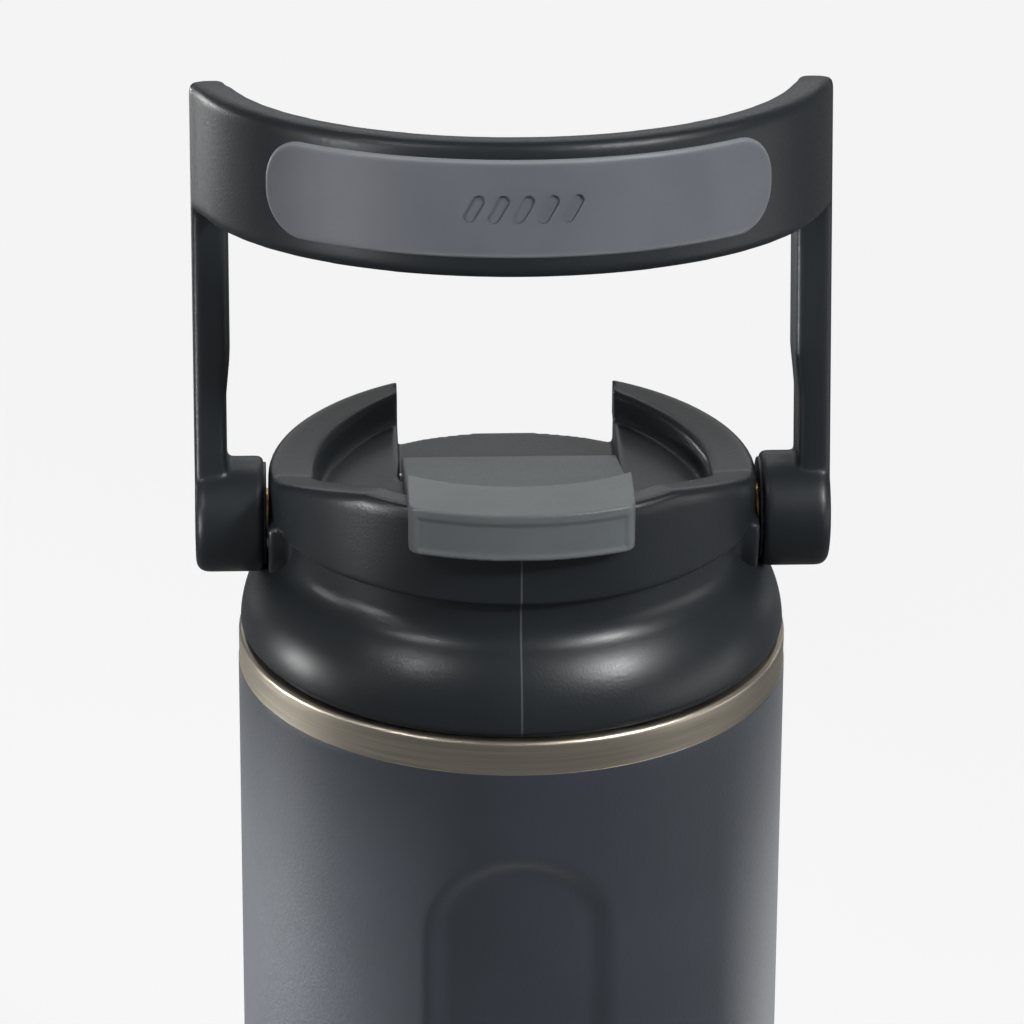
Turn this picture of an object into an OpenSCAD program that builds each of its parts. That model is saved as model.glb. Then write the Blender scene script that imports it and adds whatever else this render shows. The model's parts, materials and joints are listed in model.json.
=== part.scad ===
// Vacuum-insulated growler: double-wall steel bottle, screw-in lid with a flip
// lever over the spout, and a swinging bail handle with a soft grip.
// Origin: centre of the face it stands on. +Z up, the spout faces -Y.

/* [Bottle] */
// Outer diameter of the steel body
body_d = 122; // [100:1:150]
// Height of the steel body, base face to mouth
body_h = 212; // [160:1:280]
// Height of the bare steel band below the mouth
band_h = 7.8; // [4:0.5:14]
// Thickness of each steel wall
wall = 0.8; // [0.6:0.1:1.2]
// Vacuum gap between the two walls
vacuum_gap = 3.8; // [2.5:0.1:6]
// Radius of the rolled edges, top and bottom
edge_r = 2.2; // [1.5:0.1:3]
// Depth of the finger dents, front and back
dent_depth = 2.4; // [1:0.1:2.6]
// Width of each finger dent
dent_w = 42; // [30:1:50]
// Distance from the bare band down to the top of a dent
dent_drop = 20; // [12:1:40]
// Height of each finger dent
dent_h = 120; // [60:1:130]

/* [Lid] */
// Widest radius of the lid shoulder below the body radius
shoulder_inset = 0.6; // [0.2:0.1:2]
// Radius of the shoulder's round section
shoulder_r = 23; // [20:0.5:26]
// How far the collar, the straight wall around the lever, stands in from the body radius
collar_inset = 7.1; // [6:0.1:11]
// How far the neck under the collar stands in from the body radius
neck_inset = 10; // [9.5:0.5:13]
// Width of the rim around the recess
rim_w = 7.9; // [7:0.1:9]
// Height of the collar's lower edge above the mouth
collar_z = 28.9; // [26:0.5:32]
// Height of the rear rim above the mouth
rim_rear_z = 38.2; // [36:0.2:42]
// Height of the front rim above the mouth
rim_front_z = 49.6; // [46:0.2:54]
// Height of the deck inside the rim, above the mouth
deck_z = 31; // [30:0.5:33]
// Wall thickness of the lid mouldings
lid_wall = 3; // [2.5:0.1:3.5]

/* [Thread] */
// Rise of the thread in one turn
pitch = 6; // [4:0.5:8]
// How far each thread ridge stands out
ridge_h = 1.2; // [0.8:0.1:1.4]
// Gap between lid plug and mouth wall
thread_gap = 1.9; // [1.7:0.1:2.4]

/* [Lever] */
// Width of the lever blade
lever_w = 47.4; // [44:0.2:48]
// Gap on each side of the lever in its slot
slot_gap = 0.9; // [0.5:0.1:2]
// Rise of the lever's top face towards the front, in degrees
lever_slope = 17.6; // [16:0.5:20]
// Thickness of the lever blade
lever_t = 4.6; // [3.5:0.1:5]
// How far the thumb lip's front face stands out from the collar
lip_reach = 6.1; // [4.1:0.1:7.1]
// How far each end of the thumb lip stands out past the blade
lip_side = 0.4; // [0:0.1:0.8]
// Height of the thumb lip
lip_h = 10.5; // [8:0.5:12]
// Distance of the hinge pin behind the lid's axis
hinge_y = 15; // [13:0.5:17]

/* [Handle] */
// Gap between the body radius and each arm
arm_clear = 1; // [0.5:0.1:5]
// Thickness of each arm
arm_t = 8; // [6:0.5:9]
// Depth of each arm, front to back
arm_d = 16.5; // [14:0.5:20]
// Distance of the pivot axis below the collar's lower edge
pivot_drop = 2; // [1:0.1:3]
// How much further from the pivot the grip's lower edge is than the body radius
grip_reach = 3.9; // [1:0.1:9]
// Height of the grip band
grip_h = 28.9; // [24:0.1:36]
// How much higher the ends of the grip band are than its middle
grip_rise = 5.8; // [2:0.1:7]
// Radial thickness of the grip band
grip_t = 7.6; // [7:0.1:8.2]
// Gap between the body radius and the grip band when it hangs
grip_clear = 1.4; // [0.6:0.1:2]
// How far the handle leans back at rest, in degrees
rest_lean = 12; // [0:1:20]
// Radius of the pivot boss
boss_r = 12.8; // [11:0.1:13.5]

/* [Hidden] */
$fn = 64;
eps = 0.02;
far = 400;

// Bottle, worked out from the outside in
body_r = body_d / 2;
shell_in_r = body_r - wall;
liner_r = shell_in_r - vacuum_gap;
liner_in_r = liner_r - wall;
pad_t = 3;
pad_disc_r = shell_in_r - 2.7;
groove = 1;
pad_inset = 1;
bottom_z = pad_inset + 3.2;
liner_floor_z = bottom_z + 9;
dent_top_z = body_h - band_h - dent_drop;
dent_r = dent_w / 2;

// Lid heights, measured up from the mouth of the bottle
mouth = body_h;
gasket_t = 1.7;
plug_r = liner_in_r - thread_gap;
gasket_gap = 0.2;
skirt_in_r = liner_r + 1.1;
bead_r = body_r - 1.8;
shoulder_max = body_r - shoulder_inset;
shoulder_c = shoulder_max - shoulder_r;
shoulder_z = 1.2;
collar_r = body_r - collar_inset;
neck_r = body_r - neck_inset;
collar_in_r = collar_r - rim_w;
recess_y = 5;
plug_depth = 20;
thread_drop = 13.4;
flange_t = 2.2;
plug_top = gasket_t + flange_t;
foam_gap = 0.3;
deck_under = deck_z - 3.4;
ramp_start_y = -7.3;
ramp_end_y = 8.9 - collar_r;

// Spout, a slotted hole through the lid at the front
spout_inset = 17;
spout_y = spout_inset - collar_in_r;
spout_l = 28;
spout_d = 13;
spout_wall = 2;
spout_top_z = deck_z + 5.4;

// Lever hinge
lip_r = collar_r + lip_reach;
lip_w = lever_w + 2 * lip_side;
lip_back = 14;
slot_w = lever_w + 2 * slot_gap;
lever_rear_y = hinge_y + 4.5;
lever_rear_z = deck_z + 0.4;
lever_front_y = lip_back - lip_r;
hinge_z = lever_rear_z - 3.6;
slot_floor_z = hinge_z - 4.6;
slot_front_y = hinge_y - 1;
barrel_r = 4.2;
trough_r = barrel_r + 3;
pin_r = 1.5;
pin_run = 0.06;
pin_hold = 4.5;
pin_len = slot_w + 2 * pin_hold;
blade_front_z = lever_rear_z + (lever_rear_y - lever_front_y) * tan(lever_slope);
blade_low_z = lever_rear_z - 0.6 - lever_t / 2;
hang_z = spout_top_z + 2.4;
hang_top_z = lever_rear_z + (lever_rear_y - spout_y - spout_d / 2) * tan(lever_slope) - 0.1;
lip_top_z = blade_front_z + 0.82;
lip_over = 5.8;
lever_gap = 0.6;

// Handle pivots
handle_w = body_d + 2 * (arm_clear + arm_t);
arm_out = handle_w / 2;
arm_in = arm_out - arm_t;
pivot_z = collar_z - pivot_drop;
pad_face = collar_r + 0.1;
pad_r = 14.2;
boss_face = pad_face + 0.9;
boss_gap = 0.6;
washer_t = 0.5;
washer_r = 5.6;
screw_r = 3;
screw_run = 0.06;
head_r = 5;
head_h = 3;
head_seat = arm_out - 4.6;
head_gap = 0.1;
cap_r = head_r + 0.6;
cap_gap = 0.3;
cap_sunk = 0.2;
insert_r = 4.2;
insert_wall = 3;
insert_len = 6;
hub_r = 11.4;
hub_gap = 0.3;
thread_len = 5.2;
relief = 0.9;
relief_z = 26;
grip_in_r = body_r + grip_clear;
grip_r = grip_in_r + grip_t;
grip_low = body_r + grip_reach;
grip_top = grip_low + grip_h;
arm_top = grip_top + grip_rise * (1 - arm_d / 2 / grip_r);
arm_drop = 4;
band_end_y = 1 - arm_d / 2;
pad_low = grip_low + 4.3;
pad_high = grip_top - 3.8;
pad_angle = 51;
pad_bed = 1.4;
pad_proud = 0.7;
pad_corner = min(9, (pad_high - pad_low) / 2 - 0.4);

coat = "#383f49";
steel = "#a09a8c";
plastic = "#2a3035";
soft_grey = "#666b70";

// A straight bar with round ends, along X, rising from z = 0
module slotted(length, depth, height) {
    run = (length - depth) / 2;
    linear_extrude(height) {
        translate([-run, 0]) circle(d = depth);
        translate([run, 0]) circle(d = depth);
        square([2 * run, depth], center = true);
    }
}

// A cylinder along X from x0 to x1
module bar_x(x0, x1, r) {
    translate([x0, 0, 0]) rotate([0, 90, 0]) cylinder(r = r, h = x1 - x0);
}

// A helical ridge of the thread: root radius, tip radius, height of its start
function ridge_ring(root, tip, z, turn, grow) =
    let (s = sign(tip - root), h = abs(tip - root) * grow)
    [for (p = [[-0.4 * s, -1.3], [h * s, -0.5], [h * s, 0.5], [-0.4 * s, 1.3]])
        [(root + p[0]) * cos(turn), (root + p[0]) * sin(turn), z + p[1] + pitch * turn / 360]];

module ridge(root, tip, z, from, span) {
    steps = 40;
    rings = [for (i = [0:steps])
        ridge_ring(root, tip, z, from + span * i / steps, min(1, 0.2 + min(i, steps - i) / 4))];
    sides = 4;
    points = [for (ring = rings) for (p = ring) p];
    walls = [for (i = [0:steps - 1]) for (k = [0:sides - 1])
        let (a = i * sides + k, b = i * sides + (k + 1) % sides)
        each [[a, b, b + sides], [a, b + sides, a + sides]]];
    end = steps * sides;
    caps = [[3, 2, 1], [3, 1, 0], [end, end + 1, end + 2], [end, end + 2, end + 3]];
    out = tip > root;
    polyhedron(points, [for (f = concat(walls, caps)) out ? f : [f[2], f[1], f[0]]]);
}

// Shallow dents pressed into the front and back, with the wall following them
module dents(r, grow) {
    run = dent_h - dent_w;
    difference() {
        translate([0, 0, dent_top_z - dent_r])
            rotate([90, 0, 0])
                linear_extrude(far, center = true)
                    union() {
                        circle(r = dent_r + grow);
                        translate([0, -run]) circle(r = dent_r + grow);
                        translate([-dent_r - grow, -run]) square([dent_w + 2 * grow, run]);
                    }
        translate([0, 0, -1]) cylinder(r = r, h = body_h);
    }
}

// The bare outside form of the body, down to a radius and a lower edge
module body_form(r, low, high, round) {
    rotate_extrude() {
        translate([0, low + round]) square([r, high - low - 2 * round]);
        translate([0, low]) square([r - round, high - low]);
        translate([r - round, low + round]) circle(r = round);
        translate([r - round, high - round]) circle(r = round);
    }
}

module outer_shell() {
    color(coat)
    difference() {
        body_form(body_r, pad_inset, body_h, edge_r);
        dents(body_r - dent_depth, 0);
        difference() {
            translate([0, 0, -1]) cylinder(r = shell_in_r, h = body_h - wall + 1);
            dents(shell_in_r - dent_depth, wall);
        }
        translate([0, 0, mouth - 5]) cylinder(r = liner_r, h = 10);
    }
}

module outer_bottom() {
    color(steel)
    difference() {
        translate([0, 0, pad_inset]) cylinder(r = shell_in_r, h = bottom_z - pad_inset + wall);
        translate([0, 0, -eps]) cylinder(r = shell_in_r - 2.4, h = bottom_z + eps);
        translate([0, 0, -eps]) cylinder(r = 1.6, h = bottom_z + 2);
    }
}

module inner_liner() {
    color(steel)
    difference() {
        union() {
            difference() {
                translate([0, 0, liner_floor_z]) cylinder(r = liner_r, h = body_h - liner_floor_z);
                translate([0, 0, liner_floor_z - 1]) cylinder(r = liner_in_r, h = body_h);
            }
            ridge(liner_in_r, liner_in_r - ridge_h, body_h - thread_drop, 0, 400);
        }
        translate([0, 0, body_h]) cylinder(r = body_r, h = 10);
    }
}

module liner_bottom() {
    color(steel)
    difference() {
        translate([0, 0, liner_floor_z - 4]) cylinder(r = liner_in_r, h = 4.8);
        translate([0, 0, liner_floor_z - 5]) cylinder(r = liner_in_r - 5, h = 5);
        translate([0, 0, liner_floor_z - 5])
            difference() {
                cylinder(r = liner_in_r - wall, h = 5);
                translate([0, 0, -1]) cylinder(r = liner_in_r - 4, h = 7);
            }
    }
}

module getter_capsule() {
    color("#8d8d88")
    translate([20, 0, bottom_z + wall]) cylinder(r = 5, h = 2);
}

module vacuum_seal() {
    color("#3a3a38")
    difference() {
        translate([0, 0, bottom_z - 0.6]) cylinder(r = 3.2, h = 0.6);
        translate([0, 0, bottom_z - 1]) cylinder(r = 0.5, h = 0.6);
    }
}

module base_pad() {
    color("#202327")
    difference() {
        cylinder(r = pad_disc_r, h = pad_t);
        translate([0, 0, -eps])
            difference() {
                cylinder(r = pad_disc_r - 8, h = groove);
                translate([0, 0, -1]) cylinder(r = pad_disc_r - 11, h = groove + 2);
            }
    }
}

module lid_gasket() {
    color("#b9bcbd")
    translate([0, 0, mouth])
        difference() {
            cylinder(r = skirt_in_r - gasket_gap, h = gasket_t);
            translate([0, 0, -1]) cylinder(r = plug_r + gasket_gap, h = gasket_t + 2);
        }
}

// Half section of the lid's outside: bead, shoulder, neck and collar
module lid_outline(top) {
    intersection() {
        translate([shoulder_c, shoulder_z]) circle(r = shoulder_r, $fn = 128);
        translate([0, 1.6]) square([far, 60]);
    }
    translate([0, 0.3]) square([bead_r, 1.4]);
    translate([0, shoulder_z]) square([neck_r, collar_z]);
    translate([0, collar_z]) square([collar_r, top - collar_z]);
    neck_fillet();
}

// Concave curve where the neck flows into the shoulder
module neck_fillet() {
    r = 4.5;
    reach = shoulder_r + r;
    x = neck_r + r - shoulder_c;
    cz = shoulder_z + sqrt(reach * reach - x * x);
    touch = shoulder_r / reach;
    difference() {
        polygon([[neck_r - 2, shoulder_z], [neck_r - 2, cz], [neck_r + r, cz],
                 [shoulder_c + x * touch, shoulder_z + (cz - shoulder_z) * touch],
                 [shoulder_c + x * touch - 1, shoulder_z]]);
        translate([neck_r + r, cz]) circle(r = r);
    }
}

// Side outline of everything above the rim: level behind, ramped up to the front
module above_rim() {
    rotate([90, 0, -90])
        linear_extrude(far, center = true)
            polygon([[-far, rim_rear_z], [-ramp_start_y, rim_rear_z],
                     [-ramp_end_y, rim_front_z + 0.8], [-ramp_end_y + 4, rim_front_z],
                     [far, rim_front_z], [far, far], [-far, far]]);
}

// Hollow inside of the lid shell, open at the bottom
module lid_hollow() {
    difference() {
        rotate_extrude() {
            intersection() {
                translate([shoulder_c, shoulder_z]) circle(r = shoulder_r - lid_wall, $fn = 128);
                translate([0, plug_top + 1]) square([far, 60]);
            }
            square([skirt_in_r, plug_top + 1 + eps]);
            translate([0, shoulder_z]) square([neck_r - lid_wall, deck_under - shoulder_z]);
        }
        translate([-slot_w / 2 - lid_wall, hinge_y - trough_r - lid_wall, hinge_z - trough_r - lid_wall])
            cube([slot_w + 2 * lid_wall, far, far]);
        for (side = [0, 180])
            rotate([0, 0, side])
                translate([0, 0, pivot_z]) bar_x(collar_in_r - 8, far, insert_r + insert_wall);
    }
}

module lid_shell() {
    color(plastic)
    translate([0, 0, mouth])
    difference() {
        union() {
            rotate_extrude() lid_outline(rim_front_z + 6);
            translate([0, 0, pivot_z]) bar_x(-pad_face, pad_face, pad_r);
        }
        lid_hollow();
        above_rim();
        translate([0, recess_y, deck_z]) cylinder(r = collar_in_r, h = far);
        translate([-slot_w / 2, slot_front_y, slot_floor_z]) cube([slot_w, far, far]);
        translate([-slot_w / 2, -far, lip_top_z - lip_over - lever_gap]) cube([slot_w, far, far]);
        blade_room();
        translate([0, hinge_y, hinge_z]) bar_x(-slot_w / 2, slot_w / 2, trough_r);
        translate([0, hinge_y, hinge_z]) bar_x(-pin_len / 2, pin_len / 2, pin_r);
        translate([0, spout_y, deck_under - 1])
            slotted(spout_l + 2 * spout_wall, spout_d + 2 * spout_wall, 12);
        for (side = [0, 1])
            translate([0, 0, pivot_z]) on_side(side) {
                bar_x(pad_face - insert_len, pad_face + 1, insert_r);
                bar_x(pad_face, body_r, boss_r + boss_gap);
            }
    }
}

// Screw-in plug: a threaded cup whose flange carries the gasket
module lid_plug() {
    color("#2f3438")
    difference() {
        union() {
            translate([0, 0, mouth - plug_depth]) cylinder(r = plug_r, h = plug_depth + plug_top);
            translate([0, 0, mouth + gasket_t]) cylinder(r = skirt_in_r, h = flange_t);
            ridge(plug_r, plug_r + ridge_h, mouth - thread_drop - pitch / 2, 0, 400);
        }
        translate([0, 0, mouth - plug_depth + lid_wall])
            cylinder(r = plug_r - lid_wall, h = plug_depth + plug_top);
        translate([0, spout_y, mouth - plug_depth - 1])
            slotted(spout_l + 2 * spout_wall, spout_d + 2 * spout_wall, lid_wall + 2);
    }
}

module lid_foam() {
    low = lid_wall + foam_gap - plug_depth;
    top = min(hinge_z - trough_r - lid_wall, pivot_z - insert_r - insert_wall) - foam_gap;
    color("#e6e2d2")
    translate([0, 0, mouth])
    difference() {
        translate([0, 0, low])
            cylinder(r = neck_r - lid_wall - 2, h = top - low);
        translate([0, spout_y, low - 1])
            slotted(spout_l + 2 * spout_wall + 1, spout_d + 2 * spout_wall + 1, 60);
    }
}

module spout_tube() {
    low = -plug_depth;
    color("#2a2f33")
    translate([0, spout_y, mouth])
    difference() {
        translate([0, 0, low])
            slotted(spout_l + 2 * spout_wall, spout_d + 2 * spout_wall, spout_top_z - low);
        translate([0, 0, low - 1]) slotted(spout_l, spout_d, far);
    }
}

// Side outline of the lever blade, its lip left off
module lever_side() {
    rotate([90, 0, -90])
        linear_extrude(lever_w, center = true)
            polygon([[-lever_rear_y, lever_rear_z], [-lever_front_y, blade_front_z],
                     [-lever_front_y, blade_front_z - lever_t], [-hinge_y, blade_low_z],
                     [-lever_rear_y, lever_rear_z - 2.4]]);
}

// Room for the blade in the lid, down to a small gap under it
module blade_room() {
    rotate([90, 0, -90])
        linear_extrude(slot_w, center = true)
            polygon([[-hinge_y, blade_low_z - lever_gap],
                     [-lever_front_y, blade_front_z - lever_t - lever_gap],
                     [-lever_front_y, far], [-hinge_y, far]]);
}

module lip_plan(length, back) {
    intersection() {
        difference() {
            circle(r = lip_r, $fn = 128);
            circle(r = lip_r - back, $fn = 128);
        }
        translate([-length / 2, -lip_r]) square([length, lip_r]);
    }
}

module flip_lever() {
    color(soft_grey)
    translate([0, 0, mouth])
    difference() {
        union() {
            lever_side();
            translate([0, 0, lip_top_z - lip_over]) linear_extrude(lip_over) lip_plan(lip_w, lip_back);
            translate([0, 0, lip_top_z - lip_h])
                linear_extrude(lip_h) lip_plan(lip_w, lip_r - collar_r - 2 * lever_gap);
            translate([0, hinge_y, hinge_z]) bar_x(-lever_w / 2, lever_w / 2, barrel_r);
            translate([0, spout_y, hang_z]) slotted(spout_l + 2, spout_d, hang_top_z - hang_z);
        }
        translate([0, hinge_y, hinge_z]) bar_x(-far, far, pin_r + pin_run);
        translate([0, spout_y, hang_z - 1]) cylinder(r = 1.4, h = hang_top_z - hang_z);
    }
}

// Soft plug that closes the spout, screwed under the lever
module spout_seal() {
    color("#8c9094")
    translate([0, spout_y, mouth])
    difference() {
        union() {
            translate([0, 0, spout_top_z]) slotted(spout_l + 2 * spout_wall, spout_d + 2 * spout_wall, 2.4);
            translate([0, 0, spout_top_z - 3]) slotted(spout_l - 0.8, spout_d - 0.8, 3 + eps);
        }
        translate([0, 0, spout_top_z - 4]) cylinder(r = 1.4, h = 8);
    }
}

module seal_screw() {
    color(steel)
    translate([0, spout_y, mouth + spout_top_z]) {
        translate([0, 0, -4.6]) cylinder(r = 2.8, h = 1.6);
        translate([0, 0, -3]) cylinder(r = 1.4, h = hang_top_z - spout_top_z + 2);
    }
}

module lever_pin() {
    color(steel)
    translate([0, hinge_y, mouth + hinge_z]) bar_x(-pin_len / 2, pin_len / 2, pin_r);
}

// Everything on the handle is drawn upright about the pivot, then leant back
module at_pivot() {
    translate([0, 0, mouth + pivot_z]) rotate([-rest_lean, 0, 0]) children();
}

module on_side(side) {
    mirror([side, 0, 0]) children();
}

module pivot_insert(side) {
    color("#b08d4a")
    translate([0, 0, mouth + pivot_z]) on_side(side)
        difference() {
            bar_x(pad_face - insert_len, pad_face, insert_r);
            bar_x(pad_face - insert_len - 1, pad_face + 1, screw_r - 0.5);
        }
}

module pivot_insert_left() { pivot_insert(1); }
module pivot_insert_right() { pivot_insert(0); }

// Shoulder screw: threaded end in the insert, head sunk in the arm
module pivot_screw(side) {
    color(steel)
    translate([0, 0, mouth + pivot_z]) on_side(side)
        difference() {
            union() {
                bar_x(pad_face - thread_len, pad_face, screw_r - 0.5);
                bar_x(pad_face, head_seat, screw_r);
                bar_x(head_seat, head_seat + head_h, head_r);
            }
            translate([head_seat + head_h - 2, 0, 0]) rotate([0, 90, 0]) cylinder(r = 2, h = 5, $fn = 6);
        }
}

module pivot_screw_left() { pivot_screw(1); }
module pivot_screw_right() { pivot_screw(0); }

module pivot_washer(side) {
    color("#b08d4a")
    translate([0, 0, mouth + pivot_z]) on_side(side)
        difference() {
            bar_x(pad_face, pad_face + washer_t, washer_r);
            bar_x(pad_face - 1, boss_face + 1, screw_r);
        }
}

module pivot_washer_left() { pivot_washer(1); }
module pivot_washer_right() { pivot_washer(0); }

module pivot_cap(side) {
    color(plastic)
    at_pivot() on_side(side)
        bar_x(head_seat + head_h + cap_gap, arm_out - cap_sunk, cap_r);
}

module pivot_cap_left() { pivot_cap(1); }
module pivot_cap_right() { pivot_cap(0); }

// Grip band in plan: half a ring bulging to the front
module band_plan() {
    difference() {
        circle(r = grip_r, $fn = 128);
        circle(r = grip_in_r, $fn = 128);
        translate([-far, band_end_y]) square([2 * far, far]);
    }
}

// Side outline of the band, which rises from its middle towards the arms
module band_side() {
    rotate([90, 0, -90])
        linear_extrude(far, center = true)
            polygon([[0, grip_low + grip_rise], [grip_r, grip_low], [grip_r, grip_top],
                     [0, grip_top + grip_rise]]);
}

module arm(side) {
    half = arm_d / 2;
    on_side(side) {
        difference() {
            union() {
                translate([arm_in, 0, 0])
                    rotate([90, 0, 90])
                        linear_extrude(arm_t)
                            polygon([[-half, 0], [half, 0], [half, arm_top - arm_drop], [-half, arm_top]]);
                bar_x(arm_in, arm_out, boss_r);
            }
            translate([arm_in - 1, -far, relief_z - far]) cube([relief + 1, 2 * far, far]);
        }
        bar_x(boss_face, arm_in + relief, boss_r);
        difference() {
            bar_x(pad_face + hub_gap, boss_face + 1, hub_r);
            bar_x(pad_face, boss_face, washer_r + hub_gap);
        }
    }
}

// Round-cornered patch on the front of the band, used for the pad and its bed
module pad_patch(inner, outer) {
    intersection() {
        translate([0, 0, pad_low - 1])
            linear_extrude(pad_high - pad_low + grip_rise + 2)
                difference() {
                    circle(r = outer, $fn = 128);
                    circle(r = inner, $fn = 128);
                }
        translate([0, 0, (pad_low + pad_high) / 2 + grip_rise])
            rotate([90 + atan(grip_rise / grip_r), 0, 0])
                linear_extrude(far)
                    pad_outline();
    }
}

module pad_outline() {
    w = grip_r * sin(pad_angle);
    h = (pad_high - pad_low) / 2;
    square([2 * w, 2 * (h - pad_corner)], center = true);
    square([2 * (w - pad_corner), 2 * h], center = true);
    for (x = [-1, 1])
        for (z = [-1, 1])
            translate([x * (w - pad_corner), z * (h - pad_corner)]) circle(r = pad_corner);
}

module handle_bail() {
    color(plastic)
    at_pivot()
    difference() {
        union() {
            for (side = [0, 1])
                arm(side);
            intersection() {
                translate([0, 0, grip_low - 1]) linear_extrude(grip_h + grip_rise + 2) band_plan();
                band_side();
            }
        }
        pad_patch(grip_r - pad_bed, grip_r + arm_t);
        for (side = [0, 1])
            on_side(side) {
                bar_x(boss_face - 1, arm_out + 1, screw_r + screw_run);
                bar_x(head_seat - head_gap, arm_out + 1, cap_r);
            }
    }
}

module grip_pad() {
    color(soft_grey)
    at_pivot() pad_patch(grip_r - pad_bed, grip_r + pad_proud);
}

outer_shell();
outer_bottom();
inner_liner();
liner_bottom();
getter_capsule();
vacuum_seal();
base_pad();
lid_gasket();
lid_shell();
lid_plug();
lid_foam();
spout_tube();
flip_lever();
spout_seal();
seal_screw();
lever_pin();
pivot_insert_left();
pivot_insert_right();
handle_bail();
grip_pad();
pivot_screw_left();
pivot_screw_right();
pivot_washer_left();
pivot_washer_right();
pivot_cap_left();
pivot_cap_right();
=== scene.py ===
"""Looks for the insulated growler: moulded lid, flip lever, bail handle and coated steel body."""
import json
from math import atan2, cos, hypot, pi, radians, sin, tan

import bmesh
import bpy
from mathutils import Matrix, Vector


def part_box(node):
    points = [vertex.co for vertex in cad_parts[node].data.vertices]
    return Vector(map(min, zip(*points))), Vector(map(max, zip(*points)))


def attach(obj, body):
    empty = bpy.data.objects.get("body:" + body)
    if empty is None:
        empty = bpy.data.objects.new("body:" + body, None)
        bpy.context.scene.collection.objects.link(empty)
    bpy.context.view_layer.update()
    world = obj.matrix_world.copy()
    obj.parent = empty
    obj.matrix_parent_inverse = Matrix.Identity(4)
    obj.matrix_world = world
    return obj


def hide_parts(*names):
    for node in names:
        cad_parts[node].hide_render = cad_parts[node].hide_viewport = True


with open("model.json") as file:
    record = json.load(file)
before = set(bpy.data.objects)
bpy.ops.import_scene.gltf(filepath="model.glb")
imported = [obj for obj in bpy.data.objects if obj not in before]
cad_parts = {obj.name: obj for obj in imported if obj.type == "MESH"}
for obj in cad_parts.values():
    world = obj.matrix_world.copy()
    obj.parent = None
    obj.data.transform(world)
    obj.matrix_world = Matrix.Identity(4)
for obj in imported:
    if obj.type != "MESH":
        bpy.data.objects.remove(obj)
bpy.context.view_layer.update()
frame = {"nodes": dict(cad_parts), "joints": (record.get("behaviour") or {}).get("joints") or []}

MM = 0.001
JOINTS = {j["name"]: j for j in frame["joints"]}

# Places taken from the frame, in metres
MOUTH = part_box("lid_gasket")[0][2]
PIVOT_Z = JOINTS["handle_swing"]["pos_m"][2]
HINGE_Y, HINGE_Z = JOINTS["lever_flip"]["pos_m"][1:]

# Sizes of the visible pieces, in millimetres
BODY_R = 61.0
BAND_H = 7.8
WALL = 0.8
COAT_T = 0.15
MOUTH_R = 56.5
DENT_W = 42.0
DENT_H = 120.0
DENT_DROP = 20.0
DENT_DEPTH = 2.3
COLLAR_R = 53.9
COLLAR_Z = 28.9
NECK_R = 51.0
RIM_REAR = 38.2
RIM_TOP = 50.2
DECK_Z = 31.0
SLOT_HALF = 24.6
SLOT_LOW = 23.4
LEVER_HALF = 24.1
LIP_R = 60.0
HANDLE_R = 70.0
BAND_IN = 62.4
ARM_HALF_D = 8.25
GRIP_LOW = 64.9
GRIP_TOP = 93.8
GRIP_RISE = 5.8
REST_LEAN = radians(12)

# Heights above the mouth, in millimetres
HINGE_UP = (HINGE_Z - MOUTH) / MM
PIVOT_UP = (PIVOT_Z - MOUTH) / MM


# ---------------------------------------------------------------- mesh helpers

def clamped(value):
    """The value held between 0 and 1."""
    return min(max(value, 0), 1)


def finish_mesh(bm, name, materials, body, smooth_angle=radians(35)):
    """Turns a bmesh in millimetres into a piece in metres, with its place in its mesh."""
    bmesh.ops.scale(bm, vec=(MM, MM, MM), verts=bm.verts)
    mesh = bpy.data.meshes.new(name)
    bm.to_mesh(mesh)
    bm.free()
    piece = bpy.data.objects.new(name, mesh)
    bpy.context.scene.collection.objects.link(piece)
    for material in materials:
        mesh.materials.append(material)
    for face in mesh.polygons:
        face.use_smooth = True
    mesh.set_sharp_from_angle(angle=smooth_angle)
    if body:
        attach(piece, body)
    return piece


def outline(corners, step=1.0):
    """Points round a closed outline of (x, y, radius) corners, each corner rounded by an arc."""
    points = []
    count = len(corners)
    for i, (x, y, r) in enumerate(corners):
        here = Vector((x, y))
        if r == 0:
            points.append(here)
            continue
        back = (Vector(corners[i - 1][:2]) - here).normalized()
        ahead = (Vector(corners[(i + 1) % count][:2]) - here).normalized()
        half = back.angle(ahead) / 2
        reach = r / tan(half)
        centre = here + (back + ahead).normalized() * (r / sin(half))
        start = here + back * reach - centre
        end = here + ahead * reach - centre
        sweep = start.angle_signed(end)
        steps = max(2, round(abs(sweep) * r / step), round(abs(sweep) / radians(20)))
        for k in range(steps + 1):
            turn = -sweep * k / steps
            points.append(centre + Matrix.Rotation(turn, 2) @ start)
    return points


def spread(points, step):
    """The same closed outline with no stretch longer than step."""
    result = []
    for a, b in zip(points, points[1:] + points[:1]):
        pieces = max(1, round((b - a).length / step))
        result += [a.lerp(b, k / pieces) for k in range(pieces)]
    return result


def spin_bm(points, steps, angle=2 * pi, start=0.0):
    """A bmesh made by spinning a closed outline of (radius, height) points about the Z axis."""
    bm = bmesh.new()
    verts = [bm.verts.new((p[0] * cos(start), p[0] * sin(start), p[1])) for p in points]
    edges = [bm.edges.new((verts[i], verts[(i + 1) % len(verts)])) for i in range(len(verts))]
    full = abs(angle - 2 * pi) < 1e-6
    if not full:
        bm.faces.new(verts)
    bmesh.ops.spin(bm, geom=verts + edges, axis=(0, 0, 1), cent=(0, 0, 0), angle=angle, steps=steps,
                   use_merge=full)
    if not full:
        loose = [e for e in bm.edges if e.is_boundary]
        bmesh.ops.holes_fill(bm, edges=loose, sides=0)
    bmesh.ops.remove_doubles(bm, verts=bm.verts, dist=1e-4)
    bmesh.ops.recalc_face_normals(bm, faces=bm.faces)
    return bm


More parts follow.
